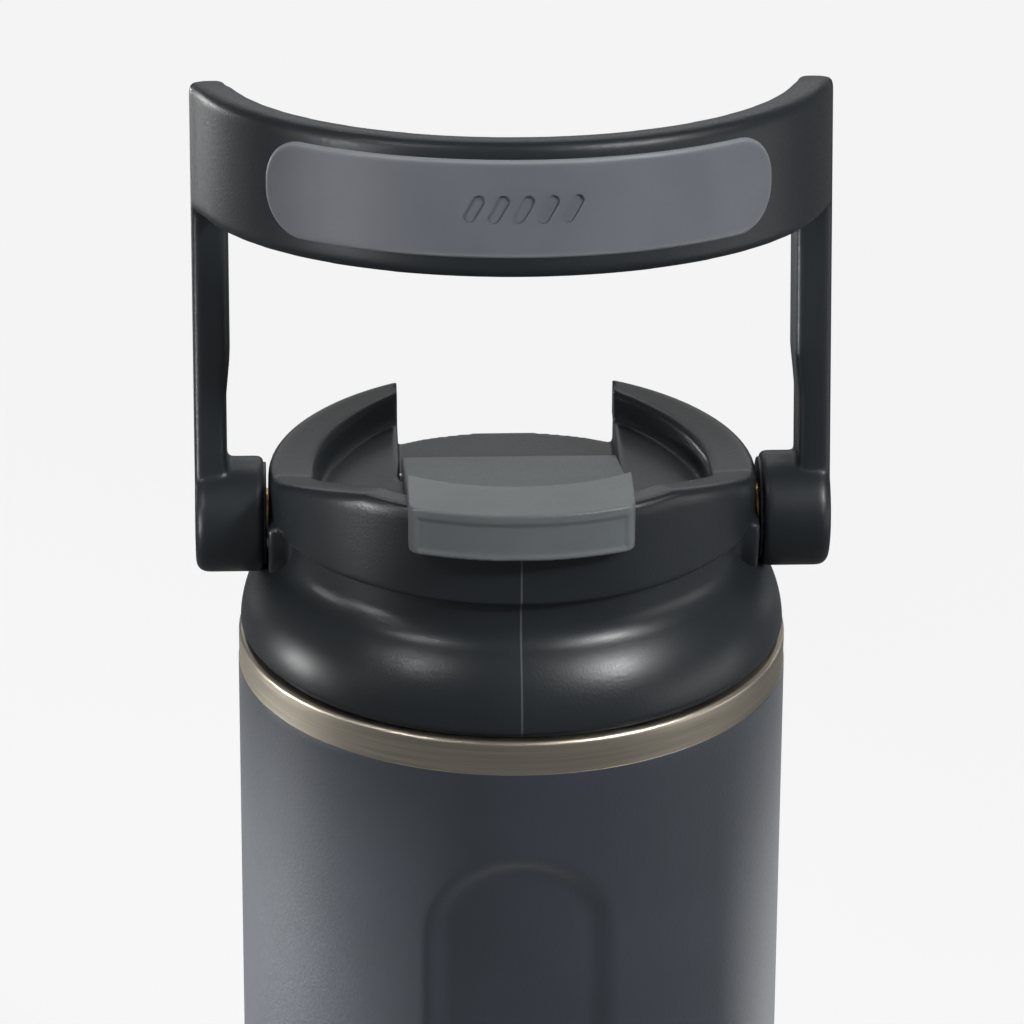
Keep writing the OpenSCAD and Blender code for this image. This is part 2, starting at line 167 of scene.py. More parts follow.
def prism_bm(points, low, high):
    """A bmesh of a closed plan outline, extruded along Z from low to high."""
    bm = bmesh.new()
    face = bm.faces.new([bm.verts.new((p[0], p[1], low)) for p in points])
    grown = bmesh.ops.extrude_face_region(bm, geom=[face])
    top = [v for v in grown["geom"] if isinstance(v, bmesh.types.BMVert)]
    bmesh.ops.translate(bm, vec=(0, 0, high - low), verts=top)
    bmesh.ops.recalc_face_normals(bm, faces=bm.faces)
    return bm


def place(bm, matrix):
    """Moves a whole bmesh, and hands it back."""
    bmesh.ops.transform(bm, matrix=matrix, verts=bm.verts)
    return bm


def profile_x_bm(points, half):
    """A bmesh of a side outline of (forward, height) points, stretched along X to both sides."""
    turn = Matrix(((0, 0, 1, 0), (-1, 0, 0, 0), (0, 1, 0, 0), (0, 0, 0, 1)))
    return place(prism_bm(points, -half, half), turn)


def bar_x_bm(x0, x1, radius, y=0.0, z=0.0, edge=0.0):
    """A round bar along X, with rounded ends if edge is given."""
    bm = bmesh.new()
    bmesh.ops.create_cone(bm, cap_ends=True, segments=96, radius1=radius, radius2=radius,
                          depth=x1 - x0)
    if edge:
        rims = [e for e in bm.edges if len(e.link_faces) == 2 and e.calc_face_angle() > 1]
        bmesh.ops.bevel(bm, geom=rims, offset=edge, affect="EDGES", segments=4, profile=0.5,
                        material=-1)
    turn = Matrix.Translation(((x0 + x1) / 2, y, z)) @ Matrix.Rotation(pi / 2, 4, "Y")
    return place(bm, turn)


def side_bar_bm(side, inner, outer, radius, z=0.0, edge=0.0):
    """A round bar along X between two distances from the middle, on one side of the growler."""
    low, high = sorted((side * inner, side * outer))
    return bar_x_bm(low, high, radius, z=z, edge=edge)


def box_bm(low, high):
    """A box between two opposite corners."""
    bm = bmesh.new()
    size = [b - a for a, b in zip(low, high)]
    bmesh.ops.create_cube(bm, size=1)
    bmesh.ops.scale(bm, vec=size, verts=bm.verts)
    bmesh.ops.translate(bm, vec=[(a + b) / 2 for a, b in zip(low, high)], verts=bm.verts)
    return bm


def stadium(length, depth, steps=16):
    """A plan outline with straight sides and round ends."""
    run = (length - depth) / 2
    right = [Vector((run + depth / 2 * cos(a), depth / 2 * sin(a)))
             for a in (-pi / 2 + pi * k / steps for k in range(steps + 1))]
    return right + [-p for p in right]


def solid(bm):
    """A throw-away object that holds a bmesh in millimetres, for boolean work."""
    mesh = bpy.data.meshes.new("work")
    bm.to_mesh(mesh)
    bm.free()
    work = bpy.data.objects.new("work", mesh)
    bpy.context.scene.collection.objects.link(work)
    return work


def carve(base, others, operation):
    """Applies a boolean of each other solid to base, and throws the others away."""
    for other in others:
        change = base.modifiers.new("carve", "BOOLEAN")
        change.operation = operation
        change.solver = "EXACT"
        change.object = other
    apply_all(base)
    for other in others:
        drop(other)
    return base


def apply_all(work):
    """Makes the modifiers of a throw-away object part of its mesh."""
    baked = bpy.data.meshes.new_from_object(work.evaluated_get(bpy.context.evaluated_depsgraph_get()))
    work.modifiers.clear()
    work.data = baked


def drop(work):
    """Throws a work object away."""
    bpy.data.objects.remove(work, do_unlink=True)


def emptied(work):
    """The mesh of a throw-away object as a bmesh, with the object gone."""
    bm = bmesh.new()
    bm.from_mesh(work.data)
    drop(work)
    return bm


def soften(work, voxel, rounds):
    """Blends every edge of a solid into small radii, as a moulded part has."""
    remesh = work.modifiers.new("grid", "REMESH")
    remesh.mode = "VOXEL"
    remesh.voxel_size = voxel
    smooth = work.modifiers.new("ease", "SMOOTH")
    smooth.factor = 0.5
    smooth.iterations = rounds
    apply_all(work)
    return emptied(work)


# ---------------------------------------------------------------- materials

def node_material(name, base, roughness, metallic=0.0, specular=0.5):
    """A material with its tree and its shader."""
    material = bpy.data.materials.new(name)
    material.use_nodes = True
    tree = material.node_tree
    shader = tree.nodes["Principled BSDF"]
    shader.inputs["Base Color"].default_value = (*base, 1)
    shader.inputs["Roughness"].default_value = roughness
    shader.inputs["Metallic"].default_value = metallic
    shader.inputs["Specular IOR Level"].default_value = specular
    material.diffuse_color = (*base, 1)
    return material, tree, shader


def coords(tree, scale=(1, 1, 1)):
    """The place on the piece, in metres, scaled by axis."""
    place_node = tree.nodes.new("ShaderNodeTexCoord")
    mapping = tree.nodes.new("ShaderNodeMapping")
    mapping.inputs["Scale"].default_value = scale
    tree.links.new(place_node.outputs["Object"], mapping.inputs["Vector"])
    return mapping.outputs["Vector"]


def noise(tree, vector, scale, detail, rough=0.5):
    """A noise pattern, from 0 to 1."""
    node = tree.nodes.new("ShaderNodeTexNoise")
    node.inputs["Scale"].default_value = scale
    node.inputs["Detail"].default_value = detail
    node.inputs["Roughness"].default_value = rough
    tree.links.new(vector, node.inputs["Vector"])
    return node.outputs["Fac"]


def ramp(tree, value, low, high):
    """A colour between two tones, spread over the middle of a noise pattern."""
    node = tree.nodes.new("ShaderNodeValToRGB")
    for stop, at, tone in zip(node.color_ramp.elements, (0.35, 0.65), (low, high)):
        stop.position = at
        stop.color = (*tone, 1)
    tree.links.new(value, node.inputs["Fac"])
    return node.outputs["Color"]


def remap(tree, value, low, high):
    """A number between low and high, spread over the middle of a noise pattern."""
    node = tree.nodes.new("ShaderNodeMapRange")
    node.inputs["From Min"].default_value = 0.3
    node.inputs["From Max"].default_value = 0.7
    node.inputs["To Min"].default_value = low
    node.inputs["To Max"].default_value = high
    tree.links.new(value, node.inputs["Value"])
    return node.outputs["Result"]


def bump(tree, shader, value, strength, distance):
    """Raises the surface by a pattern."""
    node = tree.nodes.new("ShaderNodeBump")
    node.inputs["Strength"].default_value = strength
    node.inputs["Distance"].default_value = distance
    tree.links.new(value, node.inputs["Height"])
    tree.links.new(node.outputs["Normal"], shader.inputs["Normal"])


def overlay(tree, shader, factor, paint, tone):
    """Lays a plain tone over the paint where the factor is high."""
    mix = tree.nodes.new("ShaderNodeMix")
    mix.data_type = "RGBA"
    tree.links.new(factor, mix.inputs["Factor"])
    tree.links.new(paint, mix.inputs[6])
    mix.inputs[7].default_value = (*tone, 1)
    tree.links.new(mix.outputs[2], shader.inputs["Base Color"])


def tint(base, gain):
    """A tone made lighter or darker."""
    return tuple(c * gain for c in base)


def powder_coat():
    """Textured powder coat: fine orange peel and a slight drift of tone."""
    base = (0.030, 0.036, 0.047)
    material, tree, shader = node_material("powder_coat", base, 0.45)
    place_v = coords(tree)
    drift = noise(tree, place_v, 40, 2)
    tree.links.new(ramp(tree, drift, tint(base, 0.92), tint(base, 1.1)), shader.inputs["Base Color"])
    peel = noise(tree, place_v, 1500, 2)
    tree.links.new(remap(tree, peel, 0.40, 0.50), shader.inputs["Roughness"])
    bump(tree, shader, peel, 0.35, 0.00012)
    shader.inputs["Sheen Weight"].default_value = 0.45
    shader.inputs["Sheen Roughness"].default_value = 0.4
    return material


def mould_line_and_highlight(tree, shader, place_v, paint):
    """A hair-fine mould line down the front of the lid, drawn only as a lighter tone over the paint
    under it: that lighter tone is a painted highlight where light catches the raised line.
    """
    split = tree.nodes.new("ShaderNodeSeparateXYZ")
    tree.links.new(place_v, split.inputs["Vector"])
    aside = tree.nodes.new("ShaderNodeMath")
    aside.operation = "ABSOLUTE"
    tree.links.new(split.outputs["X"], aside.inputs[0])
    near = tree.nodes.new("ShaderNodeMapRange")
    near.inputs["From Min"].default_value = 0.00008
    near.inputs["From Max"].default_value = 0.00026
    near.inputs["To Min"].default_value = 0.45
    near.inputs["To Max"].default_value = 0
    tree.links.new(aside.outputs["Value"], near.inputs["Value"])
    ahead = tree.nodes.new("ShaderNodeMath")
    ahead.operation = "LESS_THAN"
    ahead.inputs[1].default_value = -0.045
    tree.links.new(split.outputs["Y"], ahead.inputs[0])
    both = tree.nodes.new("ShaderNodeMath")
    both.operation = "MULTIPLY"
    tree.links.new(near.outputs["Result"], both.inputs[0])
    tree.links.new(ahead.outputs["Value"], both.inputs[1])
    # lighter tone: painted highlight along the raised mould line
    overlay(tree, shader, both.outputs["Value"], paint, (0.16, 0.17, 0.18))


def paint_rim_highlight(tree, shader, paint):
    """A painted highlight: a lighter line along the soft patch's raised, rounded rim, where light
    catches it.
    """
    edge = tree.nodes.new("ShaderNodeAttribute")
    edge.attribute_name = "rim_highlight"
    # lighter tone: painted highlight on the pad's raised rim
    overlay(tree, shader, edge.outputs["Fac"], paint, (0.2, 0.215, 0.23))


def moulded(name, base, roughness, grain, strength, subsurface=0.0, specular=0.5, seam_and_highlight=False,
            rim_highlight=False):
    """Moulded plastic with a spark-eroded tool texture."""
    material, tree, shader = node_material(name, base, roughness, specular=specular)
    place_v = coords(tree)
    drift = noise(tree, place_v, 60, 3)
    paint = ramp(tree, drift, tint(base, 0.94), tint(base, 1.06))
    tree.links.new(paint, shader.inputs["Base Color"])
    # real mould line, painted lighter as a highlight on its raised ridge
    if seam_and_highlight:
        mould_line_and_highlight(tree, shader, place_v, paint)
    # painted highlight along the soft pad's raised rim
    if rim_highlight:
        paint_rim_highlight(tree, shader, paint)
    fine = noise(tree, place_v, grain, 2, 0.6)
    tree.links.new(remap(tree, fine, roughness - 0.05, roughness + 0.07), shader.inputs["Roughness"])
    bump(tree, shader, fine, strength, 0.0001)
    if subsurface:
        shader.inputs["Subsurface Weight"].default_value = subsurface
        shader.inputs["Subsurface Radius"].default_value = (0.002, 0.002, 0.002)
        shader.inputs["Subsurface Scale"].default_value = 1.0
    return material


def brushed(name, base, roughness, stretch):
    """Brushed metal: streaks that run long in two directions and fine in the third."""
    material, tree, shader = node_material(name, base, roughness, metallic=1.0)
    streak = noise(tree, coords(tree, stretch), 1.0, 4, 0.65)
    tree.links.new(ramp(tree, streak, tint(base, 0.8), tint(base, 1.12)), shader.inputs["Base Color"])
    tree.links.new(remap(tree, streak, roughness - 0.07, roughness + 0.1), shader.inputs["Roughness"])
    bump(tree, shader, streak, 0.25, 0.00005)
    return material


COAT = powder_coat()
PLASTIC = moulded("dark_moulding", (0.012, 0.015, 0.018), 0.4, 1500, 0.35, specular=0.4)
# the lid's mould line carries a painted highlight
LID_PLASTIC = moulded("lid_moulding", (0.014, 0.017, 0.02), 0.33, 1800, 0.42, specular=0.4, seam_and_highlight=True)
LEVER_GREY = moulded("lever_grey", (0.114, 0.127, 0.132), 0.36, 1500, 0.15, 0.1)
# the pad's lighter rim line is a painted highlight
GRIP_GREY = moulded("grip_grey", (0.108, 0.115, 0.133), 0.5, 2200, 0.25, rim_highlight=True)
STEEL = brushed("brushed_band", (0.5, 0.45, 0.37), 0.36, (25, 25, 7000))
BARE = brushed("bare_steel", (0.6, 0.58, 0.54), 0.28, (60, 60, 3000))
BRASS = brushed("turned_brass", (0.72, 0.52, 0.24), 0.25, (4000, 80, 80))
SEAL = moulded("seal_silicone", (0.32, 0.33, 0.34), 0.5, 2500, 0.15, 0.2)
PAD_RUBBER = moulded("base_rubber", (0.02, 0.021, 0.023), 0.7, 900, 0.6)
FOAM = moulded("lid_foam", (0.75, 0.7, 0.58), 0.9, 500, 0.8)
SOLDER = moulded("solder_drop", (0.1, 0.1, 0.1), 0.4, 800, 0.4)


# ---------------------------------------------------------------- bottle

def dent_depth(x, z, top):
    """How deep the finger dent is at a place on the body's front or back, from 0 to 1."""
    half_w = DENT_W / 2
    middle = top - half_w
    run = DENT_H - DENT_W
    dz = max(z - middle, 0, (middle - run) - z)
    slope_w = 5.0
    t = clamped((half_w - hypot(x, dz)) / slope_w)
    return t * t * (3 - 2 * t)


def bottle_wall():
    """The outer wall: coated below, bare where the coat stops short of the mouth."""
    top = MOUTH / MM
    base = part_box("outer_shell")[0][2] / MM
    band = top - BAND_H
    bare_r = BODY_R - COAT_T
    inner = bare_r - WALL
    flange = top - 1.2
    profile = outline([(inner, base, 0.3), (BODY_R, base, 2.2), (BODY_R, band, 0.12),
                       (bare_r, band + 0.05, 0), (bare_r, top, 1.1), (MOUTH_R, top, 0),
                       (MOUTH_R, flange, 0), (inner, flange, 0.6)], 0.3)
    bm = spin_bm(spread(profile, 1.6), 288)
    dent_top = band - DENT_DROP
    for f in bm.faces:
        mid = f.calc_center_median()
        outside = hypot(mid.x, mid.y) > inner + 0.3
        f.material_index = 0 if outside and mid.z < band - 0.001 else 1
    for v in bm.verts:
        if base + 4 < v.co.z < band - 1:
            depth = DENT_DEPTH * dent_depth(v.co.x, v.co.z, dent_top)
            if depth > 0:
                r = hypot(v.co.x, v.co.y)
                v.co.x *= (r - depth) / r
                v.co.y *= (r - depth) / r
    piece = finish_mesh(bm, "bottle_wall", [COAT, STEEL], "bottle")
    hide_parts("outer_shell")
    return piece


# ---------------------------------------------------------------- lid

def shoulder_points():
    """The lid's outside line from the bead up the shoulder to the neck."""
    centre, radius, mid = 37.4, 23.0, 1.2
    fillet = 8.0
    cx = NECK_R + fillet
    cz = mid + ((radius + fillet) ** 2 - (cx - centre) ** 2) ** 0.5
    meet = atan2(cz - mid, cx - centre)
    low = 0.03
    points = [Vector((centre + radius * cos(low + (meet - low) * k / 40),
                      mid + radius * sin(low + (meet - low) * k / 40))) for k in range(41)]
    start = meet + pi
    for k in range(1, 13):
        a = start + (pi - start) * k / 12
        points.append(Vector((cx + fillet * cos(a), cz + fillet * sin(a))))
    return points


def lid_shoulder():
    """The rounded shoulder and the bead it sits on, open at the back for the lever."""
    wall = 3.0
    seat, inner_low = 4.95, 3
    outer = shoulder_points()
    inner = [Vector((p.x - wall, max(p.y, seat))) for p in outer if p.y > inner_low]
    bead = [Vector(p) for p in ((57.6, 0.35), (58.9, 0.35), (59.15, 0.6), (59.2, 1.2), (59.0, 1.45),
                                (58.9, 1.6), (59.4, 1.62), (60.1, 1.7))]
    upper = [Vector((NECK_R, COLLAR_Z - 0.1)), Vector((NECK_R - wall, COLLAR_Z - 0.1))]
    loop = bead + outer[1:] + upper + inner[::-1] + [Vector((57.6, seat))]
    slot_half = SLOT_HALF + 0.2
    slot = solid(box_bm((-slot_half, HINGE_Y / MM - 1, SLOT_LOW - 0.6), (slot_half, 80, 80)))
    bm = emptied(carve(solid(spin_bm(loop, 288)), [slot], "DIFFERENCE"))
    gate_mark = Matrix.Translation((0, -59.9, 2.2))
    bmesh.ops.create_icosphere(bm, subdivisions=2, radius=0.45, matrix=gate_mark)
    bmesh.ops.translate(bm, vec=(0, 0, MOUTH / MM), verts=bm.verts)
    piece = finish_mesh(bm, "lid_shoulder", [LID_PLASTIC], "lid", radians(40))
    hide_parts("lid_shell")
    return piece


def rim_height(y):
    """Height of the rim's outer edge at a place from front to back."""
    ramp_start, slope = -5, 0.325
    if y > ramp_start:
        return RIM_REAR
    return min(RIM_REAR + (ramp_start - y) * slope, RIM_TOP)


def recess_r(angle):
    """Radius of the recess inside the rim. Zero is +X and a quarter turn is the back."""
    s = sin(angle)
    return 43.8 + (7.6 * s ** 4 if s > 0 else 2.9 * s ** 2)


def lid_collar():
    """The collar with its ramped rim, sunk deck, lever slot, spout opening and pivot pads."""
    nominal_in = 45.0
    bottom = 20.0
    flat_rim, flat_in = 40.0, 39.0
    skirt_r = NECK_R - 0.06
    trough_r, pad_r, insert_r = 7.2, 14.2, 4.2
    spout_w, spout_d, spout_y = 32.2, 17.2, -29
    corners = [(skirt_r, bottom, 0.5), (skirt_r, COLLAR_Z, 0.3), (COLLAR_R, COLLAR_Z, 0.4),
               (COLLAR_R, flat_rim, 2.0), (nominal_in, flat_in, 1.6),
               (nominal_in - 0.9, DECK_Z, 0.5), (0.0, DECK_Z, 0), (0.0, bottom, 0)]
    bm = spin_bm(spread(outline(corners, 0.4), 1.2), 240)
    for v in bm.verts:
        r = hypot(v.co.x, v.co.y)
        if r < 1e-3:
            continue
        angle = atan2(v.co.y, v.co.x)
        inward = clamped((COLLAR_R - r) / (COLLAR_R - nominal_in))
        if v.co.z > DECK_Z - 0.5 and r > nominal_in - 3:
            scale = 1 + (recess_r(angle) / nominal_in - 1) * inward
            lift = rim_height(COLLAR_R * sin(angle)) - flat_rim
            part = clamped((v.co.z - DECK_Z) / (flat_in - DECK_Z))
            v.co.x *= scale
            v.co.y *= scale
            v.co.z += lift * part
    base = solid(bm)
    slot = box_bm((-SLOT_HALF, HINGE_Y / MM - 1, SLOT_LOW), (SLOT_HALF, 80, 80))
    trough = bar_x_bm(-SLOT_HALF, SLOT_HALF, trough_r, HINGE_Y / MM, HINGE_UP)
    under = [(-15.0, 28.0), (46.0, 46.9), (80.0, 46.9), (80.0, 90.0), (-15.0, 90.0)]
    blade = profile_x_bm(under, SLOT_HALF)
    spout = prism_bm(stadium(spout_w, spout_d), bottom, 60)
    bmesh.ops.translate(spout, vec=(0, spout_y, 0), verts=spout.verts)
    pads = []
    for s in (1, -1):
        pad = solid(side_bar_bm(s, 46, 54, pad_r, PIVOT_UP, edge=0.8))
        above = solid(box_bm((-80, -40, COLLAR_Z + 0.4), (80, 40, 60)))
        pads.append(carve(pad, [above], "DIFFERENCE"))
    carve(base, pads, "UNION")
    carve(base, [solid(slot), solid(trough), solid(blade), solid(spout)], "DIFFERENCE")
    base = solid(soften(base, 0.6, 4))
    holes = [solid(side_bar_bm(s, 48, 60, insert_r, PIVOT_UP)) for s in (1, -1)]
    bm = emptied(carve(base, holes, "DIFFERENCE"))
    bmesh.ops.translate(bm, vec=(0, 0, MOUTH / MM), verts=bm.verts)
    piece = finish_mesh(bm, "lid_collar", [LID_PLASTIC], "lid", radians(80))
    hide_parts("lid_shell")
    return piece


# ---------------------------------------------------------------- lever

def lip_front(radius, reach):
    """Points along the front of the lip, an arc about the bottle's axis."""
    steps = [reach * (k / 24 - 1) for k in range(49)]
    return [Vector((x, -(radius ** 2 - x ** 2) ** 0.5)) for x in steps]


def lip_bm(inner, low, high):
    """A slab of the thumb lip, from an inner arc to the lip's front, with its corners rounded."""
    corner = 2.4
    front = lip_front(LIP_R, LEVER_HALF - corner)
    end = Vector((LEVER_HALF, lip_front(LIP_R, LEVER_HALF)[-1].y))
    tail = end + Vector((0, corner))
    right = []
    for k in range(1, 6):
        t = k / 5
        right.append(front[-1] * (1 - t) ** 2 + end * 2 * t * (1 - t) + tail * t * t)
    left = [Vector((-p.x, p.y)) for p in reversed(right)]
    back = lip_front(inner, LEVER_HALF)[::-1]
    return prism_bm(left + front + right + back, low, high)


def flip_lever():
    """The lever: a sloping blade, a hinge barrel and a thumb lip with a sunk front panel."""
    side = [(-19.4, 31.4), (46.0, 52.3), (46.0, 47.4), (-15.0, 28.4), (-19.4, 29.2)]
    blade = solid(profile_x_bm(side, LEVER_HALF))
    lip_top = 53.0
    barrel_r, pin_hole_r = 4.2, 1.56
    top = solid(lip_bm(44.5, 47.2, lip_top))
    front = solid(lip_bm(55.2, 42.4, lip_top))
    barrel = solid(bar_x_bm(-LEVER_HALF, LEVER_HALF, barrel_r, HINGE_Y / MM, HINGE_UP))
    carve(blade, [top, front, barrel], "UNION")
    bore = solid(bar_x_bm(-30, 30, pin_hole_r, HINGE_Y / MM, HINGE_UP))
    carve(blade, [bore], "DIFFERENCE")
    bm = soften(blade, 0.42, 4)
    panel_half, panel_low, panel_high, panel_depth = 22.6, 43.0, 51.0, 0.4
    for v in bm.verts:
        r = hypot(v.co.x, v.co.y)
        inside = min(panel_half - abs(v.co.x), v.co.z - panel_low, panel_high - v.co.z)
        if r > LIP_R - 1 and v.co.y < 0 and inside > 0:
            t = min(inside / 0.7, 1)
            v.co.x *= 1 - panel_depth * t / r
            v.co.y *= 1 - panel_depth * t / r
    bmesh.ops.translate(bm, vec=(0, 0, MOUTH / MM), verts=bm.verts)
    piece = finish_mesh(bm, "lever_moulding", [LEVER_GREY], "lever", radians(80))
    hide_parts("flip_lever")
    return piece


# ---------------------------------------------------------------- handle

def turned_bm(corners, side):
    """A turned shape about the pivot axis, from (radius, x, rounding) corners, on one side."""
    bm = spin_bm(outline(corners, 0.3), 96)
    return place(bm, Matrix.Rotation(side * pi / 2, 4, "Y"))


def lean(bm):
    """Moves a piece drawn upright about the pivot to its place at rest, leant back."""
    return place(bm, Matrix.Translation((0, 0, PIVOT_Z / MM)) @ Matrix.Rotation(-REST_LEAN, 4, "X"))


def grip_band_bm():
    """The grip band: half a ring that rises towards the arms and eases down where it meets them."""
    thick = HANDLE_R - BAND_IN
    section = outline([(-thick, GRIP_LOW, 2.0), (0, GRIP_LOW, 2.0), (0, GRIP_TOP, 2.4),
                       (-thick, GRIP_TOP, 1.6)], 0.6)
    section = [Vector((HANDLE_R + p.x, p.y)) for p in spread(section, 1.2)]
    trim = 0.11
    bm = spin_bm(section, 150, pi - 2 * trim, pi + trim)
    for v in bm.verts:
        r = hypot(v.co.x, v.co.y)
        v.co.z += GRIP_RISE * (1 + v.co.y / r) - 1.2 * clamped((v.co.y + 18) / 10)
    return bm


def arm_bm(side):
    """One arm, relieved inside near the pivot, with a top that falls towards the back."""
    x_in, x_out = BAND_IN - 0.4, HANDLE_R
    relief = x_in + 0.9
    top, near_top, fall = 93.9, 90, 3.9
    outer = [(relief, -1), (x_out, -1), (x_out, top), (x_in, top), (x_in, 36), (relief, 27)]
    bm = prism_bm([(side * x, z) for x, z in outer], -ARM_HALF_D, ARM_HALF_D)
    place(bm, Matrix.Rotation(pi / 2, 4, "X"))
    for v in bm.verts:
        if v.co.z > near_top:
            v.co.z += fall * (ARM_HALF_D - v.co.y) / (2 * ARM_HALF_D)
    edges = [e for e in bm.edges if abs(e.verts[0].co.z - e.verts[1].co.z) > 1
             or min(v.co.z for v in e.verts) > near_top]
    bmesh.ops.bevel(bm, geom=edges, offset=1.6, affect="EDGES", segments=3, profile=0.5,
                    material=-1)
    return bm


def handle_bail():
    """The bail: band, arms and pivot bosses as one moulding, then its sharp hubs and bores."""
    boss_face, boss_r = 54.9, 12.8
    hub_face, hub_r, hub_in = 54.35, 11.4, 6.0
    screw_r, head_r, head_seat = 3.06, 5.6, 65.3
    boss = [(0, boss_face, 0), (boss_r, boss_face, 1.3), (boss_r, HANDLE_R, 2.6), (0, HANDLE_R, 0)]
    hub = [(hub_in, hub_face, 0.1), (hub_r, hub_face, 0.25), (hub_r, 56, 0), (hub_in, 56, 0)]
    band = solid(grip_band_bm())
    parts = []
    for s in (1, -1):
        parts.append(solid(arm_bm(s)))
        parts.append(solid(turned_bm(boss, s)))
    carve(band, parts, "UNION")
    whole = solid(soften(band, 0.6, 6))
    hubs = []
    bores = []
    for s in (1, -1):
        hubs.append(solid(turned_bm(hub, s)))
        bores.append(solid(side_bar_bm(s, 50, 75, screw_r)))
        bores.append(solid(side_bar_bm(s, head_seat, 75, head_r)))
    carve(whole, hubs, "UNION")
    bm = lean(emptied(carve(whole, bores, "DIFFERENCE")))
    piece = finish_mesh(bm, "bail_moulding", [PLASTIC], "handle", radians(80))
    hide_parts("handle_bail")
    return piece


def grip_insert():
    """The soft pad let into the band: drawn flat with five small recesses, then bent round."""
    low, high = GRIP_LOW + 4.3, GRIP_TOP - 3.8
    half_w, half_h = 54.4, (high - low) / 2
    half_angle = radians(49.6)
    corner = 9.6
    bed_depth, thick = 1.4, 2.1
    highlight_w, highlight_fade = 1.1, 0.5
    mark_gap, mark_slant, mark_floor = 4.6, radians(62), 1.45
    plan = outline([(-half_w, -half_h, corner), (half_w, -half_h, corner), (half_w, half_h, corner),
                    (-half_w, half_h, corner)], 0.8)
    bm = prism_bm(plan, 0, thick)
    tops = [e for e in bm.edges if all(v.co.z > 2 for v in e.verts) and len(e.link_faces) == 2
            and e.calc_face_angle() > 1]
    bmesh.ops.bevel(bm, geom=tops, offset=1.0, affect="EDGES", segments=4, profile=0.5,
                    material=-1)
    top = max(bm.faces, key=lambda f: f.calc_center_median().z + f.calc_area() / 1000)
    bmesh.ops.inset_individual(bm, faces=[top], thickness=0.6)
    marks = []
    for k in range(-2, 3):
        pill = prism_bm(stadium(6.4, 2.4, 8), mark_floor, 3)
        place(pill, Matrix.Translation((k * mark_gap, 0, 0)) @ Matrix.Rotation(mark_slant, 4, "Z"))
        marks.append(solid(pill))
    bm = emptied(carve(solid(bm), marks, "DIFFERENCE"))
    # per-vertex mask for the painted highlight along the pad's raised rim
    edge = bm.verts.layers.float.new("rim_highlight")
    for x in range(-52, 53, 2):
        bmesh.ops.bisect_plane(bm, geom=bm.verts[:] + bm.edges[:] + bm.faces[:], dist=1e-4,
                               plane_co=(x, 0, 0), plane_no=(1, 0, 0))
    for v in bm.verts:
        depth = HANDLE_R - bed_depth + v.co.z
        flat_x = v.co.x
        along = v.co.y
        over_x = max(abs(flat_x) - half_w + corner, 0)
        over_y = max(abs(along) - half_h + corner, 0)
        # 1 along the pad's rounded rim, where the highlight is painted
        v[edge] = clamped((hypot(over_x, over_y) - corner + highlight_w) / highlight_fade)
        angle = flat_x / half_w * half_angle
        middle = (low + high) / 2 + GRIP_RISE * (1 - cos(angle))
        v.co = Vector((depth * sin(angle), -depth * cos(angle), middle + along))
    bmesh.ops.recalc_face_normals(bm, faces=bm.faces)
    piece = finish_mesh(lean(bm), "grip_insert", [GRIP_GREY], "handle", radians(60))
    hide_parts("grip_pad")
    return piece


def dress_cad_nodes():
    """Detailed finishes for the CAD pieces whose shape is already right."""
    finishes = {BARE: ("outer_bottom", "inner_liner", "liner_bottom", "getter_capsule", "seal_screw",
                       "lever_pin", "pivot_screw_left", "pivot_screw_right"),
                BRASS: ("pivot_insert_left", "pivot_insert_right", "pivot_washer_left",
                        "pivot_washer_right"),
                SEAL: ("lid_gasket", "spout_seal"),
                PAD_RUBBER: ("base_pad",),
                FOAM: ("lid_foam",),
                SOLDER: ("vacuum_seal",),
                PLASTIC: ("lid_plug", "spout_tube", "pivot_cap_left", "pivot_cap_right")}
    for material, names in finishes.items():
        for name in names:
            piece = frame["nodes"][name]
            piece.data.materials.clear()
            piece.data.materials.append(material)


# ---------------------------------------------------------------- stage

def hang(name, data, place_at, aim):
    """Puts a lamp up and turns it to its aim."""
    lamp = bpy.data.objects.new(name, data)
    lamp.location = place_at
    lamp.rotation_euler = (Vector(aim) - Vector(place_at)).to_track_quat("-Z", "Y").to_euler()
    bpy.context.scene.collection.objects.link(lamp)


def area_light(name, place_at, size, power):
    """A soft box aimed at the middle of the lid."""
    data = bpy.data.lights.new(name, "AREA")
    data.shape = "RECTANGLE"
    data.size, data.size_y = size
    data.energy = power
    hang(name, data, place_at, (0, 0, 0.24))


def spot_light(name, place_at, aim_z, cone, radius, power):
    """A lamp whose cone lights one height of the growler only."""
    data = bpy.data.lights.new(name, "SPOT")
    data.spot_size = radians(cone)
    data.spot_blend = 0.5
    data.shadow_soft_size = radius
    data.energy = power
    hang(name, data, place_at, (0, 0, aim_z))


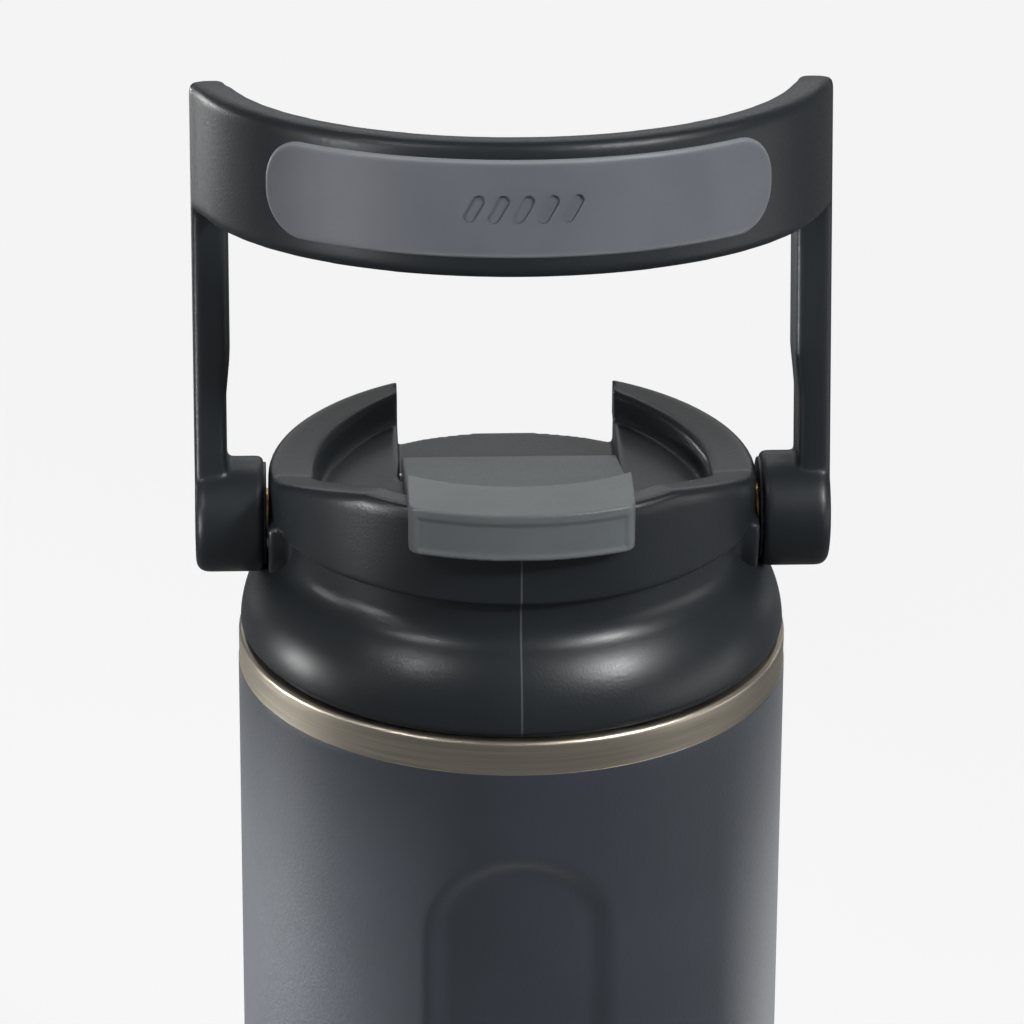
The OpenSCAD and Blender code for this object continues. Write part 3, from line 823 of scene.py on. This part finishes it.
def studio():
    """A plain pale floor and soft light."""
    scene = bpy.context.scene
    scene.view_settings.view_transform = "Standard"
    world = bpy.data.worlds.new("studio")
    world.use_nodes = True
    backdrop = world.node_tree.nodes["Background"]
    backdrop.inputs["Color"].default_value = (0.97, 0.98, 1.0, 1)
    backdrop.inputs["Strength"].default_value = 0.165
    scene.world = world
    bm = bmesh.new()
    bmesh.ops.create_grid(bm, x_segments=8, y_segments=8, size=6000)
    floor_material, _, shader = node_material("floor_paper", (0.05, 0.05, 0.05), 0.95)
    shader.inputs["Emission Color"].default_value = (1, 1, 1, 1)
    shader.inputs["Emission Strength"].default_value = 0.87
    floor = finish_mesh(bm, "floor", [floor_material], None)
    floor.visible_glossy = False
    floor.visible_diffuse = False
    spot_light("key_left", (-1.1, 0.14, 0.12), 0.095, 13, 0.04, 118)
    spot_light("edge_right", (0.78, 0.76, 0.1), 0.085, 12.5, 0.04, 64)
    spot_light("collar_left", (-1.0, -0.35, 0.1), 0.275, 4.8, 0.02, 26)
    spot_light("rim_left", (-0.95, 1.0, 0.08), 0.318, 5.5, 0.05, 32)
    spot_light("grip_left", (-0.95, -0.5, 0.45), 0.325, 9, 0.05, 17)
    area_light("low_right", (1.0, -0.2, 0.1), (0.9, 0.3), 1.4)
    area_light("high_right", (0.72, -0.62, 1.08), (0.7, 0.3), 3.5)
    spot_light("glow_right", (0.77, -0.68, 0.94), 0.23, 9.5, 0.3, 470)
    spot_light("glow_left", (-0.7, -0.56, 1.0), 0.23, 9.5, 0.3, 150)
    area_light("above", (0, 0.95, 1.3), (0.9, 0.3), 2.6)
    area_light("behind", (0, 1.5, 0.7), (1.8, 0.5), 2.4)


def camera():
    """The camera stands well back, a little above, and looks down at the front of the lid."""
    distance = 22.02 * BODY_R * MM
    elevation, azimuth, tilt = radians(25.95), radians(-2.3), radians(0.3)
    band_low = MOUTH - BAND_H * MM
    aim_above_band = 0.0343
    level = cos(elevation)
    away = Vector((sin(azimuth) * level, -cos(azimuth) * level, sin(elevation)))
    data = bpy.data.cameras.new("camera")
    data.sensor_width = 36
    data.lens = 210.8
    data.clip_end = 50
    cam = bpy.data.objects.new("camera", data)
    cam.location = Vector((0, 0, band_low)) + away * distance
    aim = Vector((0, 0, band_low + aim_above_band))
    turn = (aim - cam.location).to_track_quat("-Z", "Y")
    roll = Matrix.Rotation(tilt, 3, "Z").to_quaternion()
    cam.rotation_euler = (turn @ roll).to_euler()
    bpy.context.scene.collection.objects.link(cam)
    bpy.context.scene.camera = cam


camera()
studio()
dress_cad_nodes()
bottle_wall()
lid_shoulder()
lid_collar()
flip_lever()
handle_bail()
grip_insert()
